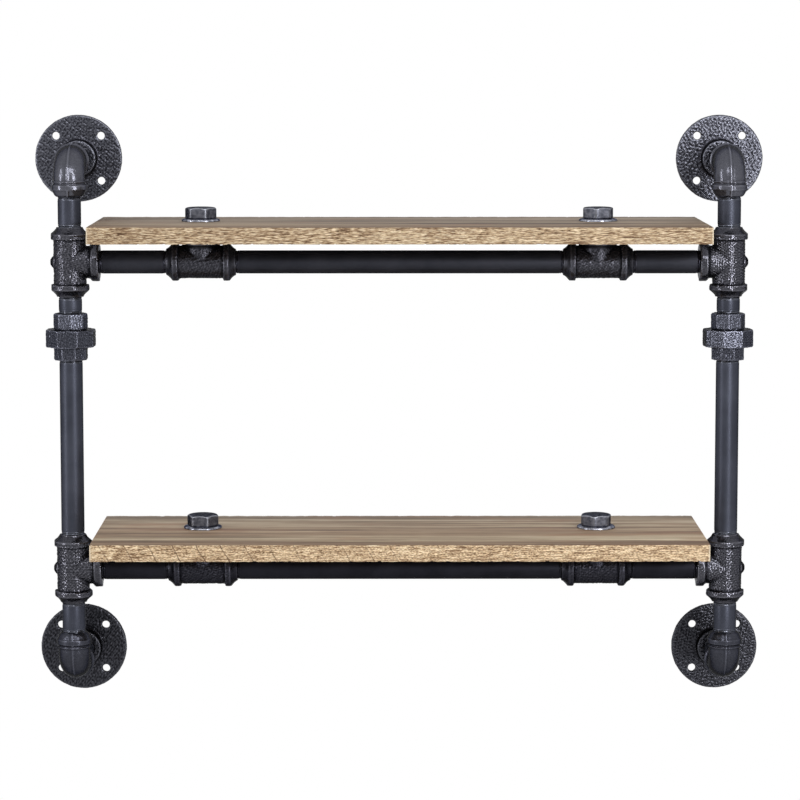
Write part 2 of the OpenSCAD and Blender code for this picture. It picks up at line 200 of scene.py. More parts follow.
# Button-head screws
SCREW_LENGTH = 46 * MM
SCREW_RADIUS = 4 * MM
SCREW_TIP = 0.2 * MM
SCREW_CHAMFER = 0.6 * MM
SCREW_HEAD_RADIUS = 6.7 * MM
SCREW_HEAD_HEIGHT = 3.9 * MM
SCREW_HEAD_EDGE = 0.15 * MM
SCREW_HEAD_ROWS = 14
FIRST_SCREW_ROW = 0.05
SCREW_MOUTH_RADIUS = 3.1 * MM
SCREW_MOUTH_DROP = 0.35 * MM
SCREW_KEY_FLATS = 5 * MM
SCREW_KEY_ROUND = 0.15 * MM
SCREW_KEY_FLARE = 0.15 * MM
SCREW_KEY_LEAD = 0.2 * MM
SCREW_KEY_DEPTH = 2.2 * MM
SCREW_KEY_CONE = 0.4 * MM
SCREW_STEPS = 48
SCREW_CREASE = 40

# Shine of all materials, tint of the dark coats' reflections seen edge-on, and heights that most of a noise
# lies between
SPECULAR_LEVEL = 0.3
DARK_EDGE = (0.10, 0.105, 0.13)
NOISE_MIDDLE = (0.3, 0.7)

# Cast irons: flecks to a grain and their share of its depth, how many times paler the worn coat with its
# painted highlight is, and how many times less the least worn patches wear
FLECKS_TO_GRAIN = 3
FLECK_DEPTH_SHARE = 0.3
WORN_HIGHLIT_COAT_GAIN = 3
LESS_WORN = 3

# Pipe coats: depth of their orange peel, and share of their roughness that the bare threads have
PEEL_DEPTH = 0.05 * MM
THREAD_ROUGH_SHARE = 0.4

# Steels: depth of their scratches, how much their edges wear with a painted highlight, and the colour of the
# worn, highlit edges
SCRATCH_DEPTH = 0.03 * MM
STEEL_WEAR_HIGHLIGHT = 0.7
WORN_HIGHLIT_STEEL = (0.42, 0.43, 0.47)

# Cast irons: coat in hollows, darkened there as painted shade, and on high grains, lightened there as painted
# highlight; size and depth of the fine grain, roughness, edge wear with its painted highlight
IRONS = {
    "tee_iron": dict(
        dark=(0.017, 0.017, 0.022), pale=(0.082, 0.082, 0.096),
        grain_size=1.8 * MM, grain_depth=0.10 * MM, rough=(0.07, 0.13), wear_and_highlight=0.8),
    # The support tees' iron is the tee iron darkened as painted shade under the boards, painted lighter on
    # the upper level than on the lower
    "support_iron_upper": dict(
        dark=(0.018, 0.018, 0.022), pale=(0.055, 0.055, 0.066),
        grain_size=1.5 * MM, grain_depth=0.16 * MM, rough=(0.24, 0.36), wear_and_highlight=0.7),
    "support_iron_lower": dict(
        dark=(0.008, 0.008, 0.011), pale=(0.030, 0.030, 0.038),
        grain_size=1.5 * MM, grain_depth=0.16 * MM, rough=(0.24, 0.36), wear_and_highlight=0.7),
    # Upper and lower elbows are one iron, painted lighter above and darker below
    "elbow_iron_upper": dict(
        dark=(0.060, 0.061, 0.074), pale=(0.104, 0.106, 0.126),
        grain_size=2.2 * MM, grain_depth=0.05 * MM, rough=(0.20, 0.27), wear_and_highlight=0.4),
    "elbow_iron_lower": dict(
        dark=(0.030, 0.031, 0.040), pale=(0.053, 0.055, 0.069),
        grain_size=2.2 * MM, grain_depth=0.05 * MM, rough=(0.22, 0.32), wear_and_highlight=0.4),
    # Upper and lower flanges are one iron, painted lighter above and darker below
    "flange_iron_upper": dict(
        dark=(0.026, 0.026, 0.033), pale=(0.092, 0.095, 0.114),
        grain_size=1.6 * MM, grain_depth=0.26 * MM, rough=(0.17, 0.27), wear_and_highlight=0.15),
    "flange_iron_lower": dict(
        dark=(0.013, 0.013, 0.016), pale=(0.048, 0.049, 0.058),
        grain_size=1.6 * MM, grain_depth=0.26 * MM, rough=(0.19, 0.29), wear_and_highlight=0.15),
    "union_iron": dict(
        dark=(0.018, 0.019, 0.026), pale=(0.078, 0.081, 0.101),
        grain_size=1.6 * MM, grain_depth=0.16 * MM, rough=(0.12, 0.22), wear_and_highlight=0.9),
    "union_tail_iron": dict(
        dark=(0.036, 0.038, 0.050), pale=(0.096, 0.100, 0.125),
        grain_size=1.6 * MM, grain_depth=0.16 * MM, rough=(0.20, 0.30), wear_and_highlight=0.7),
}

# Powder coats of the pipes, with the colour of their bare threads
COATS = {
    "pipe_coat": dict(
        dark=(0.041, 0.044, 0.058), pale=(0.055, 0.059, 0.077),
        thread=(0.085, 0.09, 0.11), rough=(0.38, 0.46)),
    # The crossbar coats are the pipe coat darkened as painted shade under the boards, the upper one painted
    # lighter than the lower
    "crossbar_coat_upper": dict(
        dark=(0.026, 0.027, 0.034), pale=(0.036, 0.037, 0.046),
        thread=(0.03, 0.03, 0.04), rough=(0.46, 0.56)),
    "crossbar_coat_lower": dict(
        dark=(0.012, 0.012, 0.016), pale=(0.018, 0.018, 0.024),
        thread=(0.015, 0.015, 0.02), rough=(0.40, 0.50)),
}

# Polished, blackened and bare steels of the fasteners
STEELS = {
    "plug_gun_metal": dict(dark=(0.070, 0.074, 0.094), bright=(0.160, 0.167, 0.200), rough=(0.32, 0.44)),
    "washer_gun_metal": dict(dark=(0.150, 0.156, 0.190), bright=(0.420, 0.430, 0.490), rough=(0.18, 0.30)),
    "screw_black_oxide": dict(dark=(0.016, 0.016, 0.019), bright=(0.03, 0.03, 0.034), rough=(0.28, 0.42)),
    "insert_bare_steel": dict(dark=(0.42, 0.42, 0.44), bright=(0.55, 0.55, 0.57), rough=(0.25, 0.38)),
}

# Boards: shift of their grain, dashes in a metre along and across the edges, strength of the saw marks,
# colours of the flat faces and of the edges from low to high grain, and tints from the front to the wall
WOODS = {
    "upper": dict(
        shift=0.0, dashes=(230.0, 1500.0), sawn=0.12,
        flats=[(0.42, (0.070, 0.050, 0.036)), (0.475, (0.170, 0.132, 0.100)), (0.525, (0.250, 0.200, 0.155)),
               (0.58, (0.37, 0.32, 0.26))],
        edges=[(0.37, (0.08, 0.042, 0.020)), (0.45, (0.31, 0.208, 0.122)), (0.53, (0.51, 0.379, 0.232)),
               (0.63, (0.74, 0.62, 0.44))],
        bands=[(0.0, (0.72, 0.56, 0.42)), (0.12, (0.76, 0.62, 0.50)), (0.22, (0.96, 0.86, 0.74)),
               (0.55, (0.93, 0.88, 0.82)), (0.80, (1.09, 1.05, 1.01)), (1.0, (0.80, 0.77, 0.74))]),
    "lower": dict(
        shift=0.37, dashes=(420.0, 1150.0), sawn=0.95,
        flats=[(0.41, (0.14, 0.100, 0.070)), (0.475, (0.255, 0.195, 0.142)), (0.525, (0.335, 0.272, 0.204)),
               (0.59, (0.46, 0.40, 0.315))],
        edges=[(0.38, (0.13, 0.075, 0.038)), (0.46, (0.43, 0.289, 0.165)), (0.53, (0.66, 0.484, 0.296)),
               (0.62, (0.86, 0.71, 0.49))],
        bands=[(0.0, (0.56, 0.42, 0.34)), (0.12, (0.74, 0.62, 0.52)), (0.16, (1.40, 1.37, 1.25)),
               (0.25, (1.28, 1.24, 1.13)), (0.36, (1.02, 0.89, 0.78)), (0.80, (1.12, 1.06, 1.00)),
               (1.0, (0.90, 0.92, 0.93))]),
}

# Colours of the boards' sawn ends from low to high grain
SAWN_END = [(0.25, (0.16, 0.10, 0.062)), (0.45, (0.34, 0.255, 0.165)), (0.65, (0.50, 0.41, 0.285)),
            (0.85, (0.62, 0.53, 0.39))]

# Tints and strengths of the boards' finer details, how far from the ends the painted highlight on the long
# edges starts and is full, and how much the bands of tint sway
RUST_TINT = (0.28, 0.155, 0.10)
RUST_STRENGTH = 0.45
PORE_TINT = (0.06, 0.042, 0.030)
PORE_STRENGTH = 0.45
THIN_LINE_TINT = (0.15, 0.08, 0.04)
THIN_LINE_STRENGTH = 0.55
SAW_MARK_TINT = (0.10, 0.055, 0.03)
LEAST_SAW_MARK = 0.1
END_HIGHLIGHT_TINT = (0.66, 0.57, 0.43)
END_HIGHLIGHT_STRENGTH = 0.8
END_HIGHLIGHT_START = 1.7 * MM
END_HIGHLIGHT_FULL = 0.8 * MM
BAND_SWAY = 0.12

# Lines on the long edges: number of growth lines, share of the dashes along and number across of the thin
# lines, where a line starts and is full, and sway of the saw marks
GROWTH_LINES = 14
THIN_LINES = ((0.13, 560.0), (0.29, 900.0))
LINE_START = 0.035
LINE_FULL = 0.012
SAW_MARK_SWAY = 0.2

# Boards: depth of their grain, roughness, and how squarely an end or a flat face looks along its axis
WOOD_GRAIN_DEPTH = 0.5 * MM
WOOD_ROUGH = (0.62, 0.78)
FACING = (0.6, 0.9)

# Camera found from the flanges, pipes, crossbars and boards of the photograph, with its angles in degrees
CAMERA_PLACE = (-0.0117, -3.015, 0.3771)
CAMERA_PITCH = 5.78
CAMERA_YAW = 0.24
CAMERA_LENS = 129.22
CAMERA_SENSOR = 36.0
CAMERA_SHIFT = -0.08
CAMERA_NEAR = 0.05
CAMERA_FAR = 50

# Lamps, with their angles in degrees and their power in watts
LAMPS = {
    "key_right": dict(azimuth=28, elevation=9, distance=1.8, width=0.18, height=1.5, power=17),
    "key_left": dict(azimuth=-61, elevation=9, distance=2.4, width=0.18, height=1.8, power=16),
    "top_front": dict(azimuth=6, elevation=36, distance=1.9, width=1.2, height=0.4, power=10),
}

# World: grey of its light from below to above. Floor: its place, colour, and where it fades to white
SKY_GREYS = ((0.0, 0.06), (0.48, 0.12), (1.0, 0.80))
FLOOR_DROP = 0.55
FLOOR_SIZE = 2.6
FLOOR_COLOUR = (0.86, 0.86, 0.85)
FLOOR_FADE_SHARES = (0.35, 0.95)
WHITE = (1, 1, 1)


def waves(points, size, seed):
    """Smooth random height of about -1 to 1 at each point, with lumps of about the given size."""
    rng = np.random.default_rng(seed)
    directions = rng.normal(size=(WAVE_COUNT, 3))
    directions /= np.linalg.norm(directions, axis=1)[:, None]
    directions *= (TAU / size * rng.uniform(*WAVE_SPREAD, WAVE_COUNT))[:, None]
    phases = rng.uniform(0, TAU, WAVE_COUNT)
    return np.cos(points @ directions.T + phases).sum(1) / math.sqrt(WAVE_COUNT / 2) / 2


def linked(name, data):
    """New object in the scene."""
    piece = bpy.data.objects.new(name, data)
    bpy.context.scene.collection.objects.link(piece)
    return piece


def smooth_faces(mesh):
    """Shades every face of a mesh smooth."""
    for face in mesh.polygons:
        face.use_smooth = True


def drawn_mesh(piece):
    """New mesh of a piece as its modifiers draw it."""
    drawn = piece.evaluated_get(bpy.context.evaluated_depsgraph_get())
    return bpy.data.meshes.new_from_object(drawn)


def mark(mesh, name, values):
    """Gives each point of a mesh a value, which its material reads by name."""
    mesh.attributes.new(name, "FLOAT", "POINT").data.foreach_set("value", values)


def dress(piece, material, slot, *nodes):
    """Gives a piece its material, seats it on the body and lets it stand for its CAD nodes. Its slot is not
    used.
    """
    piece.data.materials.clear()
    piece.data.materials.append(material)
    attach(piece, "root")
    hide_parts(*nodes)
    return piece


def stacked(name, groups, wrap):
    """Piece made of groups of rings. Neighbouring rings are joined, and the ends are joined too or capped."""
    points = []
    faces = []
    for rings in groups:
        first = len(points)
        steps = len(rings[0])
        for ring in rings:
            points.extend(ring)
        last = len(rings) if wrap else len(rings) - 1
        for row in range(last):
            here = first + row * steps
            there = first + (row + 1) % len(rings) * steps
            for step in range(steps):
                beside = (step + 1) % steps
                faces.append((here + step, here + beside, there + beside, there + step))
        if not wrap:
            faces.append(tuple(first + step for step in reversed(range(steps))))
            end = first + (len(rings) - 1) * steps
            faces.append(tuple(end + step for step in range(steps)))
    mesh = bpy.data.meshes.new(name)
    mesh.from_pydata([tuple(point) for point in points], [], faces)
    shape = bmesh.new()
    shape.from_mesh(mesh)
    bmesh.ops.recalc_face_normals(shape, faces=shape.faces)
    shape.to_mesh(mesh)
    shape.free()
    smooth_faces(mesh)
    return linked(name, mesh)


def sharpen(piece, angle):
    """Keeps edges sharper than the angle crisp in the shading."""
    piece.data.set_sharp_from_angle(angle=math.radians(angle))


def relief(mesh, points, normals):
    """Height from 0 to 1 of each point over its softened surroundings, where 0.5 is level with them."""
    ends = np.zeros(len(mesh.edges) * 2, np.int32)
    mesh.edges.foreach_get("vertices", ends)
    first, second = ends.reshape(-1, 2).T
    here, there = np.concatenate((first, second)), np.concatenate((second, first))
    neighbours = np.bincount(here, minlength=len(points))[:, None]
    soft = points
    for _ in range(RELIEF_ROUNDS):
        sums = np.stack([np.bincount(here, soft[there, axis], len(points)) for axis in (X, Y, Z)], 1)
        soft = (soft + sums / neighbours) / 2
    rise = ((points - soft) * normals).sum(1)
    return np.clip(0.5 + 0.5 * rise / RELIEF_DEPTH, 0, 1)


def calm_bands(points, box, ends):
    """Share of the grain at each point: less on the banded ends, each given by its axis and box corner."""
    share = np.ones(len(points))
    for axis, corner in ends:
        away = np.abs(points[:, axis] - box[corner][axis]) / BAND_REACH
        rise = np.clip((away - BAND_EDGE_SHARE) / BAND_FADE_SHARE, 0, 1)
        share = np.minimum(share, CALM_GRAIN + (1 - CALM_GRAIN) * rise)
    return share


def remeshed(node, grid, softening):
    """Even skin over a CAD node, with fillets in its corners."""
    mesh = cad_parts[node].data.copy()
    shape = bmesh.new()
    shape.from_mesh(mesh)
    bmesh.ops.remove_doubles(shape, verts=shape.verts, dist=WELD_GAP)
    shape.to_mesh(mesh)
    shape.free()
    rough = linked("rough_" + node, mesh)
    remesh = rough.modifiers.new("remesh", "REMESH")
    remesh.mode = "VOXEL"
    remesh.voxel_size = grid
    smooth = rough.modifiers.new("smooth", "SMOOTH")
    smooth.factor = SOFTENING_FACTOR
    smooth.iterations = softening
    skin = drawn_mesh(rough)
    bpy.data.objects.remove(rough)
    smooth_faces(skin)
    skin.update()
    return skin


def cast_piece(node, material, grid, grain, softening, seed, parting=None, ends=()):
    """Skin of a cast fitting with grain and lumps, and a parting ridge where an axis has the given place."""
    skin = remeshed(node, grid, softening)
    points = np.zeros(len(skin.vertices) * 3)
    skin.vertices.foreach_get("co", points)
    points = points.reshape(-1, 3)
    normals = np.zeros(len(skin.vertices) * 3)
    skin.vertex_normals.foreach_get("vector", normals)
    normals = normals.reshape(-1, 3)
    low, high = (np.array(corner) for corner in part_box(node))
    depth, size = grain
    height = depth * (waves(points, size, seed) - GRAIN_SINK_SHARE) * calm_bands(points, (low, high), ends)
    # A flange has less grain on its rim and hub than on its flat faces
    if node.startswith("wall_flange"):
        height *= CALM_GRAIN + (1 - CALM_GRAIN) * normals[:, Y] ** 2
    height += CAST_LUMPS * (waves(points, CAST_LUMP_SIZE, seed + 1) - 1)
    if parting is not None:
        axis, place = parting
        away = (points[:, axis] - place) / PARTING_WIDTH
        height += PARTING_RIDGE * np.exp(-away ** 2) * (1 - normals[:, axis] ** 2)
    points = np.clip(points + normals * height[:, None], low, high)
    skin.vertices.foreach_set("co", points.ravel())
    mark(skin, "relief", relief(skin, points, normals))
    skin.update()
    skin.name = node + "_skin"
    piece = linked(node + "_cast", skin)
    return dress(piece, material, "cast_fittings", node)


def pipe_piece(node, axis, sockets, material):
    """Tube with the run-out of its thread showing beyond the fitting at each end."""
    low, high = (np.array(corner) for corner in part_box(node))
    middle = (low + high) / 2
    across, upward = (axis + 1) % 3, (axis + 2) % 3
    radius = (high[across] - low[across]) / 2
    start, end = low[axis], high[axis]
    step = THREAD_PITCH / RINGS_PER_PITCH
    runs = [np.arange(socket - THREAD_HIDDEN, socket + THREAD_SHOWN, step) for socket in sockets]
    places = [start, *(start + runs[0]), *(end - runs[1])[::-1], end]
    angles = np.linspace(0, TAU, PIPE_STEPS, endpoint=False)
    outer = []
    bare = []
    for place in places:
        from_end, socket = min((place - start, sockets[0]), (end - place, sockets[1]))
        fade = min(1, max(0, 1 - (from_end - socket) / THREAD_SHOWN))
        turn = np.mod(place / THREAD_PITCH - angles / TAU, 1)
        cut = THREAD_DEPTH * fade * (1 - np.abs(2 * turn - 1))
        if from_end < THREAD_PITCH:
            cut = np.full_like(cut, THREAD_DEPTH)
        outer.append((place, radius - cut))
        bare.append(fade)
    bore = [(end, radius - PIPE_WALL), (start, radius - PIPE_WALL)]
    rings = []
    for place, reach in outer + bore:
        ring = np.zeros((PIPE_STEPS, 3))
        ring[:, axis] = place
        ring[:, across] = middle[across] + reach * np.cos(angles)
        ring[:, upward] = middle[upward] + reach * np.sin(angles)
        rings.append(ring)
    piece = stacked(node + "_tube", [rings], wrap=True)
    mark(piece.data, "bare_thread", np.repeat(bare + [0] * len(bore), PIPE_STEPS))
    sharpen(piece, PIPE_CREASE)
    return dress(piece, material, "pipe", node)


def soft_min(first, second, width):
    """The smaller of two lengths, with the change from one to the other rounded over a width."""
    share = np.clip(0.5 + 0.5 * (second - first) / width, 0, 1)
    return second + (first - second) * share - width * share * (1 - share)


def polygon_reach(angles, flats, sides, rounding):
    """Distance from the centre to a many-sided outline with rounded corners, at each angle."""
    sector = TAU / sides
    off = np.mod(angles + sector / 2, sector) - sector / 2
    flat = flats / 2 / np.cos(off)
    corner = flats / 2 / math.cos(sector / 2) - rounding
    return soft_min(flat, corner, rounding)


def round_ring(centre, radius, height, angles):
    """Level ring, where the radius is one length or one for each angle."""
    radius = np.broadcast_to(radius, angles.shape)
    across = centre[0] + radius * np.cos(angles)
    back = centre[1] + radius * np.sin(angles)
    return np.stack([across, back, np.full_like(angles, height)], 1)


def support_places(level):
    """Side and centre of each support tee's branch at a level, with the foot and top of the board on it."""
    board_low, board_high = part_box("shelf_board_" + level)
    bar_low, bar_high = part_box("centre_crossbar_" + level)
    places = []
    for side in SIDES:
        low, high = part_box(f"support_tee_{level}_{side}")
        places.append((side, (low.x + high.x) / 2, (bar_low.y + bar_high.y) / 2, board_low.z, board_high.z))
    return places


def board_outline(rows, columns):
    """Shares of depth and thickness up the front edge, back over the top, down the rear and forward below."""
    edge_shares = np.linspace(0, 1, rows + 1)
    flat_shares = np.linspace(0, 1, columns + 1)[1:-1]
    outline = [(0.0, share) for share in edge_shares]
    outline += [(share, 1.0) for share in flat_shares]
    outline += [(1.0, share) for share in edge_shares[::-1]]
    outline += [(share, 0.0) for share in flat_shares[::-1]]
    return np.array(outline)


def sawn_depth(points, seed):
    """How deep the torn fibres and the saw's marks go into an edge at each point."""
    stretched = points * FIBRE_STRETCH
    fibre = waves(stretched, FIBRE_SIZE, seed)
    fibre += COARSE_FIBRE_SHARE * waves(stretched, COARSE_FIBRE_SIZE, seed + 1)
    phase = (points[:, X] + SAW_LEAN * points[:, Z]) / SAW_SPACING
    phase += SAW_WANDER * waves(points, SAW_WANDER_SIZE, seed + 2)
    saw = np.abs(np.mod(phase, 1) - 0.5) * 2
    return np.maximum(FIBRE_DEPTH * (0.5 - 0.5 * fibre) + SAW_DEPTH * np.power(saw, SAW_SHARPNESS), 0)


def arris_depth(points, share_back, share_up, seed):
    """How far the worn arris and its chips reach in at each point, where all four arrises differ."""
    along = np.stack([points[:, X], ARRIS_APART * share_back, ARRIS_APART * share_up], 1)
    chip = waves(along, CHIP_SIZE, seed) + SMALL_CHIP_SHARE * waves(along, SMALL_CHIP_SIZE, seed + 1)
    chip = np.clip(chip - CHIP_LEVEL, 0, 1)
    arris = ARRIS_WIDTH + ARRIS_CHANGE * waves(along, ARRIS_SIZE, seed + 2)
    return arris + np.where(share_up == 0, CHIP_DEPTH, UPPER_CHIP_SHARE * CHIP_DEPTH) * chip


def cut_hole(piece, centre, foot, top):
    """Drills a round hole straight down through a piece."""
    angles = np.linspace(0, TAU, HOLE_STEPS, endpoint=False)
    rings = [round_ring(centre, HOLE_RADIUS, z, angles) for z in (foot - DRILL_OVERRUN, top + DRILL_OVERRUN)]
    drill = stacked("drill", [rings], wrap=False)
    cut = piece.modifiers.new("hole", "BOOLEAN")
    cut.operation = "DIFFERENCE"
    cut.solver = "EXACT"
    cut.object = drill
    mesh = drawn_mesh(piece)
    piece.modifiers.clear()
    piece.data = mesh
    bpy.data.objects.remove(drill)
    smooth_faces(mesh)


def board_piece(level, material, seed):
    """Board with sawn, fibrous long edges and chipped arrises, drilled for its plugs."""
    node = "shelf_board_" + level
    low, high = (np.array(corner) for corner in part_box(node))
    length, depth, thickness = high - low
    outline = board_outline(int(thickness / EDGE_STEP), int(depth / TOP_STEP))
    places = low[X] + length * np.linspace(0, 1, int(length / BOARD_STEP) + 1)
    base = np.zeros((len(outline), 3))
    base[:, Y] = low[Y] + depth * outline[:, 0]
    base[:, Z] = low[Z] + thickness * outline[:, 1]
    grid = np.repeat(base[None], len(places), 0)
    grid[:, :, X] = places[:, None]
    points = grid.reshape(-1, 3)
    share_back = np.tile(outline[:, 0], len(places))
    share_up = np.tile(outline[:, 1], len(places))
    front, rear = share_back == 0, share_back == 1
    top, foot = share_up == 1, share_up == 0
    corner = (front | rear) & (top | foot)
    rough = sawn_depth(points, seed)
    worn = arris_depth(points, share_back, share_up, seed + 3)
    wave = TOP_WAVE * (1 + waves(points * TOP_WAVE_STRETCH, TOP_WAVE_SIZE, seed + 6))
    inward = np.zeros_like(points)
    inward[:, Y] += np.where(front, rough, 0) - np.where(rear, rough, 0)
    inward[:, Y] += np.where(corner & front, worn, 0) - np.where(corner & rear, worn, 0)
    worn = worn * ARRIS_DROP_SHARE
    inward[:, Z] += np.where(corner & foot, worn, 0) - np.where(corner & top, worn, 0)
    inward[:, Z] -= np.where(top & ~corner, np.clip(wave, 0, 1), 0)
    rings = np.clip(points + inward, low, high).reshape(grid.shape)
    piece = stacked(node + "_wood", [list(rings)], wrap=False)
    for _, x, y, foot_z, top_z in support_places(level):
        cut_hole(piece, (x, y), foot_z, top_z)
    sharpen(piece, BOARD_CREASE)
    return dress(piece, material, "board", node)


def plug_rings(centre, turn, foot, core_top, seat, head_height):
    """Rings of one plug from inside its hollow shank out and up to the top of its head, with their wear and
    painted highlight.
    """
    angles = np.linspace(0, TAU, PLUG_STEPS, endpoint=False)
    reach = polygon_reach(angles - turn, PLUG_FLATS, HEX_SIDES, CORNER_ROUND)
    corner = PLUG_FLATS / 2 / math.cos(TAU / 2 / HEX_SIDES)
    crown_radius = corner * CROWN_SHARE
    # Corners and the crown's edge are marked for wear with a painted highlight
    on_corner = np.clip((reach / corner - WORN_HIGHLIT_CORNER_SHARE) / WORN_HIGHLIT_CORNER_FADE, 0, 1)
    unworn = np.zeros(PLUG_STEPS)
    profile = [(PLUG_CENTRE, core_top, unworn), (CORE_RADIUS, core_top, unworn), (CORE_RADIUS, foot, unworn),
               (SHANK_RADIUS, foot, unworn), (SHANK_RADIUS, seat, unworn),
               (reach - PLUG_CHAMFER, seat, unworn), (reach, seat + PLUG_CHAMFER, on_corner)]
    for share in np.linspace(FIRST_HEAD_ROW, 1, HEAD_ROWS):
        height = seat + PLUG_CHAMFER + (head_height - PLUG_CHAMFER) * share
        below = (seat + head_height - height) / PLUG_CROWN
        cap = crown_radius + (corner - crown_radius) * min(1.0, math.sqrt(max(0.0, below))) + CORNER_ROUND
        on_crown = np.clip(WORN_HIGHLIT_CROWN_WIDTHS - np.abs(reach - cap) / WORN_HIGHLIT_CROWN_WIDTH, 0, 1)
        wear_and_highlight = np.maximum(np.where(reach < cap, on_corner, 0), on_crown)
        profile.append((soft_min(reach, cap, CORNER_ROUND), height, wear_and_highlight))
    profile.append((crown_radius * CAP_SHARE, seat + head_height, unworn))
    profile.append((PLUG_CENTRE, seat + head_height, unworn))
    return [(round_ring(centre, radius, height, angles), wear_and_highlight) for radius, height, wear_and_highlight in profile]


def plug_pieces(material):
    """The four plugs, with six flats under a turned crown, and a hollow shank."""
    washer_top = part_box("plug_washers")[HIGH].z
    seat_lift = washer_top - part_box("shelf_board_upper")[HIGH].z
    head_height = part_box("hex_plugs")[HIGH].z - washer_top
    groups = []
    worn = []
    for level in LEVELS:
        for side, x, y, board_foot, board_top in support_places(level):
            turn = math.radians(PLUG_TURNS[side])
            rings = plug_rings(
                (x, y), turn, board_foot - PLUG_GRIP, board_top, board_top + seat_lift, head_height)
            groups.append([ring for ring, _ in rings])
            worn.extend(wear_and_highlight for _, wear_and_highlight in rings)
    piece = stacked("hex_plugs_turned", groups, wrap=False)
    mark(piece.data, "worn_highlit_edge", np.concatenate(worn))
    sharpen(piece, PLUG_CREASE)
    return dress(piece, material, "plug_steel", "hex_plugs")


def washer_pieces(material):
    """The four washers, each with a narrow rim and a rounded slope up to its flat."""
    low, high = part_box("plug_washers")
    places = [place for level in LEVELS for place in support_places(level)]
    first_x = places[0][1]
    thickness = high.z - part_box("shelf_board_upper")[HIGH].z
    radius = (high.x - low.x - 2 * abs(first_x)) / 2
    bore = SHANK_RADIUS + WASHER_PLAY
    profile = [(bore, 0), (radius - WASHER_EDGE, 0), (radius, WASHER_EDGE)]
    profile.append((radius, WASHER_RIM - WASHER_EDGE))
    for share in np.linspace(FIRST_WASHER_ROW, 1, WASHER_ROWS):
        rise = (thickness - WASHER_RIM) * share ** WASHER_POWER
        profile.append((radius - WASHER_SLOPE * share, WASHER_RIM + rise))
    profile.append((bore, thickness))
    angles = np.linspace(0, TAU, PLUG_STEPS, endpoint=False)
    groups = []
    for _, x, y, _, board_top in places:
        groups.append([round_ring((x, y), reach, board_top + rise, angles) for reach, rise in profile])
    piece = stacked("plug_washers_turned", groups, wrap=True)
    sharpen(piece, WASHER_CREASE)
    return dress(piece, material, "plug_steel", "plug_washers")


def screw_profile(angles):
    """Radius and rise of a screw's rings, from its tip over the domed head and down into the recess."""
    dome = (SCREW_HEAD_RADIUS ** 2 + SCREW_HEAD_HEIGHT ** 2) / 2 / SCREW_HEAD_HEIGHT
    key = polygon_reach(angles, SCREW_KEY_FLATS, HEX_SIDES, SCREW_KEY_ROUND)
    mouth = SCREW_HEAD_HEIGHT - SCREW_MOUTH_DROP
    floor = SCREW_HEAD_HEIGHT - SCREW_KEY_DEPTH
    profile = [(SCREW_TIP, -SCREW_LENGTH), (SCREW_RADIUS - SCREW_CHAMFER, -SCREW_LENGTH),
               (SCREW_RADIUS, -SCREW_LENGTH + SCREW_CHAMFER), (SCREW_RADIUS, 0),
               (SCREW_HEAD_RADIUS - SCREW_HEAD_EDGE, 0)]
    for rise in np.linspace(FIRST_SCREW_ROW, 1, SCREW_HEAD_ROWS) * SCREW_HEAD_HEIGHT:
        reach = math.sqrt(dome ** 2 - (dome - SCREW_HEAD_HEIGHT + rise) ** 2)
        if reach > SCREW_MOUTH_RADIUS:
            profile.append((reach, rise))
    profile += [(key + SCREW_KEY_FLARE, mouth), (key, mouth - SCREW_KEY_LEAD), (key, floor),
                (SCREW_TIP, floor - SCREW_KEY_CONE)]
    return profile


def screw_pieces(material):
    """The four button-head screws with their six-sided recess."""
    low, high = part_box("end_screws")
    angles = np.linspace(0, TAU, SCREW_STEPS, endpoint=False)
    profile = screw_profile(angles)
    groups = []
    for level in LEVELS:
        bar_low, bar_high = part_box("centre_crossbar_" + level)
        y, z = (bar_low.y + bar_high.y) / 2, (bar_low.z + bar_high.z) / 2
        for sign, face in ((-1, low.x), (1, high.x)):
            seat = face - sign * SCREW_HEAD_HEIGHT
            rings = []
            for reach, rise in profile:
                ring = round_ring((0, 0), reach, 0, angles)
                places = np.full_like(angles, seat + sign * rise)
                rings.append(np.stack([places, y + ring[:, 0], z + ring[:, 1]], 1))
            groups.append(rings)
    piece = stacked("end_screws_turned", groups, wrap=False)
    sharpen(piece, SCREW_CREASE)
    return dress(piece, material, "screw_steel", "end_screws")


def add(tree, kind, values=None, **settings):
    """New shader node with its settings, and with values or links for its inputs."""
    node = tree.nodes.new(kind)
    for name, setting in settings.items():
        setattr(node, name, setting)
    for name, value in (values or {}).items():
        if isinstance(value, bpy.types.NodeSocket):
            tree.links.new(value, node.inputs[name])
        else:
            node.inputs[name].default_value = value
    return node


def new_material(name):
    """Empty material with its tree and the object's own coordinates."""
    material = bpy.data.materials.new(name)
    material.use_nodes = True
    tree = material.node_tree
    tree.nodes.clear()
    place = add(tree, "ShaderNodeTexCoord").outputs["Object"]
    return material, tree, place


def noise(tree, place, scale, detail, stretch=None, roughness=0.55, distortion=0.0):
    """Noise height from 0 to 1 with about the given number of lumps in a metre."""
    if stretch is not None:
        place = add(tree, "ShaderNodeMapping", {"Vector": place, "Scale": stretch}).outputs["Vector"]
    node = add(tree, "ShaderNodeTexNoise", {
        "Vector": place, "Scale": scale, "Detail": detail, "Roughness": roughness, "Distortion": distortion})
    return node.outputs["Fac"]


def drawn_noise(tree, place, along, across, detail, distortion=0.0):
    """Noise drawn out along a board, with so many lumps in a metre along it and across it."""
    stretch = (along, across, across)
    return noise(tree, place, scale=1.0, detail=detail, stretch=stretch, distortion=distortion)


def ramp(tree, height, stops):
    """Colour for each height from a list of (height, colour)."""
    node = add(tree, "ShaderNodeValToRGB", {"Fac": height})
    band = node.color_ramp
    while len(band.elements) < len(stops):
        band.elements.new(0.5)
    for element, (position, colour) in zip(band.elements, stops):
        element.position = position
        element.color = (*colour, 1)
    return node.outputs["Color"]


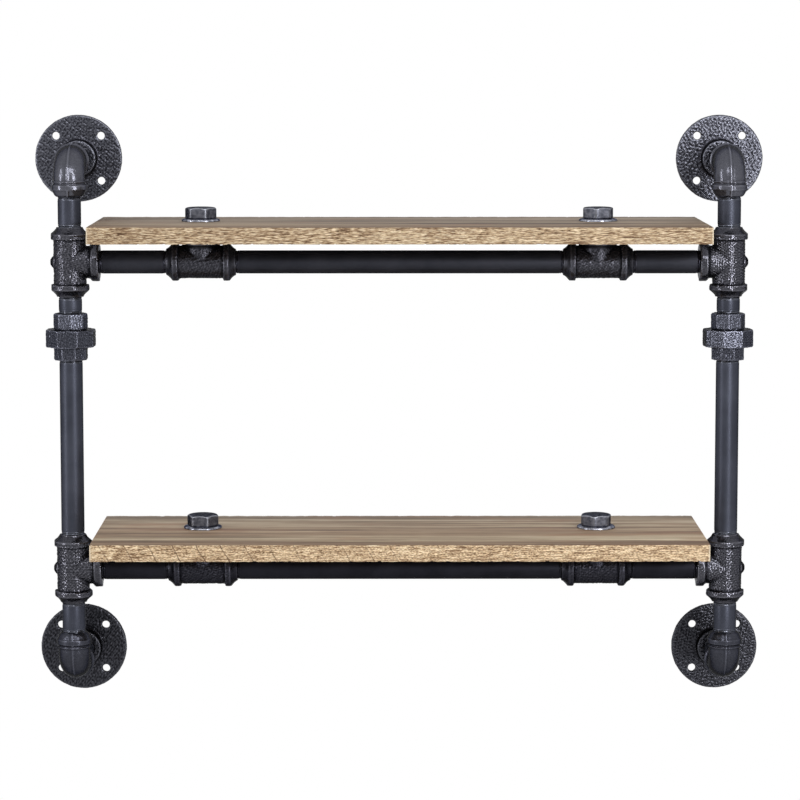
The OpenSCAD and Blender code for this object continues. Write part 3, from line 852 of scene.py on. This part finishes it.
def spread(tree, height, low, high, to_low=0.0, to_high=1.0):
    """Height between low and high, spread between two other values and held at them outside."""
    node = add(tree, "ShaderNodeMapRange", {
        "Value": height, "From Min": low, "From Max": high, "To Min": to_low, "To Max": to_high})
    return node.outputs["Result"]


def blend(tree, share, first, second, mode="MIX"):
    """Colour between two colours."""
    node = add(tree, "ShaderNodeMix", data_type="RGBA", blend_type=mode)
    for socket, value in ((node.inputs[0], share), (node.inputs[6], first), (node.inputs[7], second)):
        if isinstance(value, bpy.types.NodeSocket):
            tree.links.new(value, socket)
        elif isinstance(value, tuple):
            socket.default_value = (*value, 1)
        else:
            socket.default_value = value
    return node.outputs[2]


def maths(tree, operation, first, second=0.0):
    """Result of one sum on two values."""
    return add(tree, "ShaderNodeMath", {0: first, 1: second}, operation=operation).outputs[0]


def vector_maths(tree, operation, first, second=(0, 0, 0)):
    """Outputs of one sum on two vectors: a vector first, and a number called Value."""
    return add(tree, "ShaderNodeVectorMath", {0: first, 1: second}, operation=operation).outputs


def weighted(tree, *parts):
    """Sum of heights, each given with its weight before it."""
    total = None
    for weight, height in parts:
        part = maths(tree, "MULTIPLY", height, weight)
        total = part if total is None else maths(tree, "ADD", total, part)
    return total


def parts_of(tree, vector):
    """The three numbers of a vector, called X, Y and Z."""
    return add(tree, "ShaderNodeSeparateXYZ", {"Vector": vector}).outputs


def marked(tree, name):
    """Value that a piece's points were given under a name."""
    return add(tree, "ShaderNodeAttribute", attribute_name=name).outputs["Fac"]


def bump(tree, height, depth, strength=1.0, normal=None):
    """Normal bent by a height that is the given depth at 1."""
    values = {"Height": height, "Distance": depth, "Strength": strength}
    if normal is not None:
        values["Normal"] = normal
    return add(tree, "ShaderNodeBump", values).outputs["Normal"]


def surface(material, tree, colour, roughness, normal, metallic=0.0, tint=WHITE):
    """Ends a material with its shader."""
    shader = add(tree, "ShaderNodeBsdfPrincipled", {
        "Base Color": colour, "Roughness": roughness, "Normal": normal, "Metallic": metallic,
        "Specular IOR Level": SPECULAR_LEVEL, "Specular Tint": (*tint, 1)})
    add(tree, "ShaderNodeOutputMaterial", {"Surface": shader.outputs["BSDF"]})
    return material


def cast_iron(name, dark, pale, grain_size, grain_depth, rough, wear_and_highlight):
    """Blue-black coat over sand-cast iron, with painted shade in hollows and corners, and wear with a painted
    highlight on edges and high grains.
    """
    material, tree, place = new_material(name)
    patches = noise(tree, place, scale=45, detail=4)
    grains = noise(tree, place, scale=1 / grain_size, detail=2, roughness=0.5)
    flecks = noise(tree, place, scale=FLECKS_TO_GRAIN / grain_size, detail=1)
    rise = marked(tree, "relief")
    middle = tuple((a + b) / 2 for a, b in zip(dark, pale))
    worn_and_highlit_coat = tuple(min(1, WORN_HIGHLIT_COAT_GAIN * part) for part in pale)
    # Painted shade in hollows and corners, and painted highlight on high grains, from the relief under the
    # coat
    height = weighted(tree, (0.7, rise), (0.3, grains))
    colour = ramp(tree, height, [(0.32, dark), (0.50, middle), (0.64, pale)])
    # Pale worn coat on edges and high grains, part wear and part painted highlight
    edges_worn_and_highlit = spread(tree, rise, low=0.66, high=0.95)
    in_patches = spread(tree, patches, low=0.40, high=0.60, to_low=wear_and_highlight / LESS_WORN, to_high=wear_and_highlight)
    colour = blend(tree, maths(tree, "MULTIPLY", edges_worn_and_highlit, in_patches), colour, worn_and_highlit_coat)
    roughness = spread(tree, patches, *NOISE_MIDDLE, *rough)
    normal = bump(tree, grains, grain_depth)
    normal = bump(tree, flecks, grain_depth * FLECK_DEPTH_SHARE, normal=normal)
    return surface(material, tree, colour, roughness, normal, metallic=0.85, tint=DARK_EDGE)


def painted_pipe(name, dark, pale, thread, rough):
    """Satin blue-black powder coat on steel pipe, worn to glossy metal on the ends of its threads."""
    material, tree, place = new_material(name)
    patches = noise(tree, place, scale=30, detail=3)
    peel = noise(tree, place, scale=420, detail=2)
    worn = spread(tree, marked(tree, "bare_thread"), low=0.15, high=0.5)
    colour = ramp(tree, patches, [(0.35, dark), (0.65, pale)])
    colour = blend(tree, worn, colour, thread)
    roughness = spread(tree, patches, *NOISE_MIDDLE, *rough)
    left = spread(tree, worn, low=0.0, high=1.0, to_low=1.0, to_high=THREAD_ROUGH_SHARE)
    roughness = maths(tree, "MULTIPLY", roughness, left)
    normal = bump(tree, peel, PEEL_DEPTH)
    return surface(material, tree, colour, roughness, normal, metallic=0.8, tint=DARK_EDGE)


def gun_metal(name, dark, bright, rough):
    """Polished dark steel with fine scratches, brighter on the edges marked as worn, as wear and painted
    highlight.
    """
    material, tree, place = new_material(name)
    patches = noise(tree, place, scale=240, detail=4)
    scratches = noise(tree, place, scale=1400, detail=2, stretch=(1.0, 1.0, 0.12))
    # Edges marked as worn are painted brighter, as wear and painted highlight
    worn = maths(tree, "MULTIPLY", marked(tree, "worn_highlit_edge"), STEEL_WEAR_HIGHLIGHT)
    colour = ramp(tree, patches, [(0.38, dark), (0.62, bright)])
    colour = blend(tree, worn, colour, WORN_HIGHLIT_STEEL)
    roughness = spread(tree, scratches, *NOISE_MIDDLE, *rough)
    normal = bump(tree, scratches, SCRATCH_DEPTH)
    return surface(material, tree, colour, roughness, normal, metallic=0.95, tint=DARK_EDGE)


def wood_flats(tree, place, spot, box, wide, streaks, flats, bands):
    """Colour of the flat faces: streaks, reddish patches and pores, tinted in bands from front to wall."""
    low, high = box
    rust = drawn_noise(tree, place, along=9.0, across=30.0, detail=2)
    pores = drawn_noise(tree, place, along=28.0, across=1300.0, detail=2)
    colour = ramp(tree, streaks, flats)
    colour = blend(tree, spread(tree, rust, low=0.55, high=0.70, to_high=RUST_STRENGTH), colour, RUST_TINT)
    colour = blend(tree, spread(tree, pores, low=0.55, high=0.68, to_high=PORE_STRENGTH), colour, PORE_TINT)
    depth = spread(tree, parts_of(tree, spot)["Y"], low.y, high.y)
    sway = maths(tree, "MULTIPLY", maths(tree, "SUBTRACT", wide, 0.5), BAND_SWAY)
    tint = ramp(tree, maths(tree, "ADD", depth, sway), bands)
    return blend(tree, 1.0, colour, tint, "MULTIPLY")


def wood_edges(tree, place, spot, box, wide, grains, patches, edges, dashes, sawn):
    """Colour of the long edges: dashes, growth lines, thin dark lines and saw marks, with a painted highlight
    at both ends.
    """
    low, high = box
    growth = drawn_noise(tree, place, along=8.0, across=170.0, detail=2)
    layers = maths(tree, "MULTIPLY", growth, GROWTH_LINES)
    layers = maths(tree, "MULTIPLY", maths(tree, "PINGPONG", layers, 0.5), 2)
    colour = ramp(tree, weighted(tree, (0.65, grains), (0.15, patches), (0.20, layers)), edges)
    for along_share, across in THIN_LINES:
        lines = drawn_noise(tree, place, along=along_share * dashes[0], across=across, detail=1)
        away = maths(tree, "ABSOLUTE", maths(tree, "SUBTRACT", lines, 0.5))
        share = spread(tree, away, low=LINE_START, high=LINE_FULL, to_high=THIN_LINE_STRENGTH)
        colour = blend(tree, share, colour, THIN_LINE_TINT)
    turned = vector_maths(tree, "DOT_PRODUCT", spot, (1 / SAW_SPACING, 0, SAW_LEAN / SAW_SPACING))["Value"]
    sway = maths(tree, "MULTIPLY", patches, SAW_MARK_SWAY)
    stroke = maths(tree, "PINGPONG", maths(tree, "ADD", turned, sway), 0.5)
    strength = spread(tree, wide, low=0.42, high=0.62, to_low=LEAST_SAW_MARK, to_high=sawn)
    marks = maths(tree, "MULTIPLY", spread(tree, stroke, low=LINE_START, high=LINE_FULL), strength)
    colour = blend(tree, marks, colour, SAW_MARK_TINT)
    # Painted highlight on the long edges next to both ends
    half = (high.x - low.x) / 2
    from_middle = maths(tree, "ABSOLUTE", parts_of(tree, spot)["X"])
    end_highlight = spread(tree, from_middle, half - END_HIGHLIGHT_START, half - END_HIGHLIGHT_FULL, to_high=END_HIGHLIGHT_STRENGTH)
    return blend(tree, end_highlight, colour, END_HIGHLIGHT_TINT)


def wood_ends(tree, place, spot, box, patches):
    """Colour of the sawn ends: growth rings round a pith below the board, with dots of cut fibres."""
    low, high = box
    pith = (0, (low.y + high.y) / 2, low.z - PITH_DROP)
    from_pith = vector_maths(tree, "SUBTRACT", spot, pith)[0]
    across = vector_maths(tree, "MULTIPLY", from_pith, (0, 1, 1))[0]
    reach = vector_maths(tree, "LENGTH", across)["Value"]
    bent = maths(tree, "ADD", reach, maths(tree, "MULTIPLY", patches, GROWTH_WANDER))
    ring = maths(tree, "DIVIDE", maths(tree, "PINGPONG", bent, GROWTH_STEP), GROWTH_STEP)
    dots = drawn_noise(tree, place, along=100.0, across=1600.0, detail=2)
    return ramp(tree, weighted(tree, (0.45, ring), (0.55, dots)), SAWN_END)


def wood(name, node, shift, dashes, sawn, flats, edges, bands):
    """Greyed oiled wood with its grain along x, and colours for its flat faces, long edges and sawn ends."""
    material, tree, spot = new_material(name)
    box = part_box(node)
    shifted = add(tree, "ShaderNodeMapping", {"Vector": spot, "Location": (shift, shift, shift)})
    place = shifted.outputs["Vector"]
    wide = drawn_noise(tree, place, along=2.2, across=34.0, detail=3, distortion=0.5)
    fine = drawn_noise(tree, place, along=4.0, across=95.0, detail=4)
    fibres = drawn_noise(tree, place, along=45.0, across=900.0, detail=3)
    patches = drawn_noise(tree, place, along=16.0, across=70.0, detail=3)
    grains = drawn_noise(tree, place, *dashes, detail=2, distortion=0.15)
    streaks = weighted(tree, (0.36, wide), (0.50, fine), (0.14, fibres))
    flat_colour = wood_flats(tree, place, spot, box, wide, streaks, flats, bands)
    edge_colour = wood_edges(tree, place, spot, box, wide, grains, patches, edges, dashes, sawn)
    end_colour = wood_ends(tree, place, spot, box, patches)
    facing = parts_of(tree, add(tree, "ShaderNodeNewGeometry").outputs["True Normal"])
    end = spread(tree, maths(tree, "ABSOLUTE", facing["X"]), *FACING)
    flat = spread(tree, maths(tree, "ABSOLUTE", facing["Z"]), *FACING)
    colour = blend(tree, flat, blend(tree, end, edge_colour, end_colour), flat_colour)
    normal = bump(tree, blend(tree, flat, grains, streaks), WOOD_GRAIN_DEPTH, strength=0.8)
    roughness = spread(tree, streaks, *NOISE_MIDDLE, *WOOD_ROUGH)
    return surface(material, tree, colour, roughness, normal)


def corner_pieces(number, level, side, irons, coats):
    """Flange, elbow, tees and short pipes of one corner."""
    corner = f"{level}_{side}"
    elbow_low, elbow_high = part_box("elbow_" + corner)
    bar_low, bar_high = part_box("centre_crossbar_" + level)
    side_plane = (X, (elbow_low.x + elbow_high.x) / 2)
    bar_plane = (Y, (bar_low.y + bar_high.y) / 2)
    inner = HIGH if side == "left" else LOW
    bar_sockets = (BRANCH_SOCKET, RUN_SOCKET) if side == "left" else (RUN_SOCKET, BRANCH_SOCKET)
    # Flanges, elbows and support tees take their iron painted lighter on the upper level and darker on the
    # lower
    cast_piece("wall_flange_" + corner, irons["flange_iron_" + level], CAST_GRID, FLANGE_GRAIN,
               FITTING_SOFTENING, FLANGE_SEED + number)
    cast_piece("elbow_" + corner, irons["elbow_iron_" + level], FINE_GRID, SMOOTH_GRAIN,
               FITTING_SOFTENING, ELBOW_SEED + number, side_plane)
    cast_piece("upright_tee_" + corner, irons["tee_iron"], FINE_GRID, TEE_GRAIN,
               FITTING_SOFTENING, UPRIGHT_TEE_SEED + number, bar_plane,
               ends=((Z, LOW), (Z, HIGH), (X, inner)))
    cast_piece("support_tee_" + corner, irons["support_iron_" + level], CAST_GRID, TEE_GRAIN,
               FITTING_SOFTENING, SUPPORT_TEE_SEED + number, bar_plane,
               ends=((X, LOW), (X, HIGH), (Z, HIGH)))
    pipe_piece("flange_nipple_" + corner, Y, (RUN_SOCKET, FLANGE_SOCKET), coats["pipe_coat"])
    pipe_piece("riser_pipe_" + corner, Z, (RUN_SOCKET, RUN_SOCKET), coats["pipe_coat"])
    # Side crossbars take the coat painted lighter on the upper level and darker on the lower
    pipe_piece("side_crossbar_" + corner, X, bar_sockets, coats["crossbar_coat_" + level])


def side_pieces(number, side, irons, coats):
    """Union and long pipes of one side frame."""
    for part_number, part in enumerate(("tail", "nut", "thread_piece")):
        iron = irons["union_tail_iron" if part == "tail" else "union_iron"]
        seed = UNION_SEED + UNION_SEED_STEP * number + part_number
        cast_piece(f"union_{part}_{side}", iron, FINE_GRID, UNION_GRAIN, UNION_SOFTENING, seed)
    pipe_piece("union_nipple_" + side, Z, (UNION_SOCKET, RUN_SOCKET), coats["pipe_coat"])
    pipe_piece("upright_pipe_" + side, Z, (RUN_SOCKET, UNION_SOCKET), coats["pipe_coat"])


def build_shelf():
    """Every piece of the shelf over its CAD node."""
    irons = {name: cast_iron(name, **look) for name, look in IRONS.items()}
    coats = {name: painted_pipe(name, **look) for name, look in COATS.items()}
    steels = {name: gun_metal(name, **look) for name, look in STEELS.items()}
    woods = {level: wood(level + "_board_wood", "shelf_board_" + level, **WOODS[level]) for level in LEVELS}
    for number, corner in enumerate(CORNERS):
        corner_pieces(number, *corner.split("_"), irons, coats)
    for number, side in enumerate(SIDES):
        side_pieces(number, side, irons, coats)
    for number, level in enumerate(LEVELS):
        # The centre crossbar takes the coat painted lighter on the upper level and darker on the lower
        bar_coat = coats["crossbar_coat_" + level]
        pipe_piece("centre_crossbar_" + level, X, (RUN_SOCKET, RUN_SOCKET), bar_coat)
        board_piece(level, woods[level], BOARD_SEED + BOARD_SEED_STEP * number)
    plug_pieces(steels["plug_gun_metal"])
    washer_pieces(steels["washer_gun_metal"])
    screw_pieces(steels["screw_black_oxide"])
    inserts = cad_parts["end_inserts"]
    inserts.data.materials.clear()
    inserts.data.materials.append(steels["insert_bare_steel"])


def set_camera():
    """Camera at the photograph's viewpoint."""
    data = bpy.data.cameras.new("camera")
    data.sensor_width = CAMERA_SENSOR
    data.lens = CAMERA_LENS
    data.shift_y = CAMERA_SHIFT
    data.clip_start = CAMERA_NEAR
    data.clip_end = CAMERA_FAR
    camera = linked("camera", data)
    camera.location = CAMERA_PLACE
    camera.rotation_euler = (math.radians(90 - CAMERA_PITCH), 0, math.radians(-CAMERA_YAW))
    bpy.context.scene.camera = camera


def area_light(name, azimuth, elevation, distance, width, height, power):
    """Rectangular lamp that faces the shelf. Azimuth 0 is in front of it, and 90 to its right."""
    data = bpy.data.lights.new(name, "AREA")
    data.shape = "RECTANGLE"
    data.size = width
    data.size_y = height
    data.energy = power
    lamp = linked(name, data)
    around, up = math.radians(azimuth), math.radians(elevation)
    aim = Vector((math.sin(around) * math.cos(up), -math.cos(around) * math.cos(up), math.sin(up)))
    lamp.location = aim * distance
    lamp.rotation_euler = aim.to_track_quat("Z", "Y").to_euler()


def set_world():
    """White backdrop for the camera and for reflections, and a soft light from above on the surfaces."""
    world = bpy.data.worlds.new("studio")
    bpy.context.scene.world = world
    world.use_nodes = True
    tree = world.node_tree
    tree.nodes.clear()
    up = parts_of(tree, add(tree, "ShaderNodeTexCoord").outputs["Generated"])["Z"]
    light = ramp(tree, spread(tree, up, -1, 1), [(height, (grey, grey, grey)) for height, grey in SKY_GREYS])
    rays = add(tree, "ShaderNodeLightPath").outputs
    reflected = maths(tree, "MAXIMUM", rays["Is Glossy Ray"], rays["Is Transmission Ray"])
    seen = maths(tree, "MAXIMUM", rays["Is Camera Ray"], reflected)
    lit = add(tree, "ShaderNodeBackground", {"Color": light, "Strength": 1.0})
    white = add(tree, "ShaderNodeBackground", {"Color": (*WHITE, 1), "Strength": 1.0})
    mixed = add(tree, "ShaderNodeMixShader", {0: seen, 1: lit.outputs[0], 2: white.outputs[0]})
    add(tree, "ShaderNodeOutputWorld", {"Surface": mixed.outputs[0]})


def floor_material(centre, half):
    """Pale material that fades to plain white for the camera, away from a centre."""
    material, tree, place = new_material("pale_floor")
    distance = vector_maths(tree, "LENGTH", vector_maths(tree, "SUBTRACT", place, centre)[0])["Value"]
    fade = spread(tree, distance, *(half * share for share in FLOOR_FADE_SHARES))
    share = maths(tree, "MULTIPLY", fade, add(tree, "ShaderNodeLightPath").outputs["Is Camera Ray"])
    pale = add(tree, "ShaderNodeBsdfDiffuse", {"Color": (*FLOOR_COLOUR, 1)})
    white = add(tree, "ShaderNodeEmission", {"Color": (*WHITE, 1), "Strength": 1.0})
    mixed = add(tree, "ShaderNodeMixShader", {0: share, 1: pale.outputs[0], 2: white.outputs[0]})
    add(tree, "ShaderNodeOutputMaterial", {"Surface": mixed.outputs[0]})
    return material


def set_floor():
    """Pale floor below the shelf, which fades into the white backdrop at its rim."""
    low, high = cad_box
    middle = (low + high) / 2
    half = FLOOR_SIZE / 2
    level = low.z - FLOOR_DROP
    signs = ((-1, -1), (1, -1), (1, 1), (-1, 1))
    corners = [(middle.x + across * half, middle.y + back * half, level) for across, back in signs]
    mesh = bpy.data.meshes.new("floor")
    mesh.from_pydata(corners, [], [(0, 1, 2, 3)])
    floor = linked("floor", mesh)
    mesh.materials.append(floor_material((middle.x, middle.y, level), half))


build_shelf()
set_camera()
set_world()
set_floor()
for name, lamp in LAMPS.items():
    area_light(name, **lamp)
bpy.context.scene.view_settings.view_transform = "Standard"
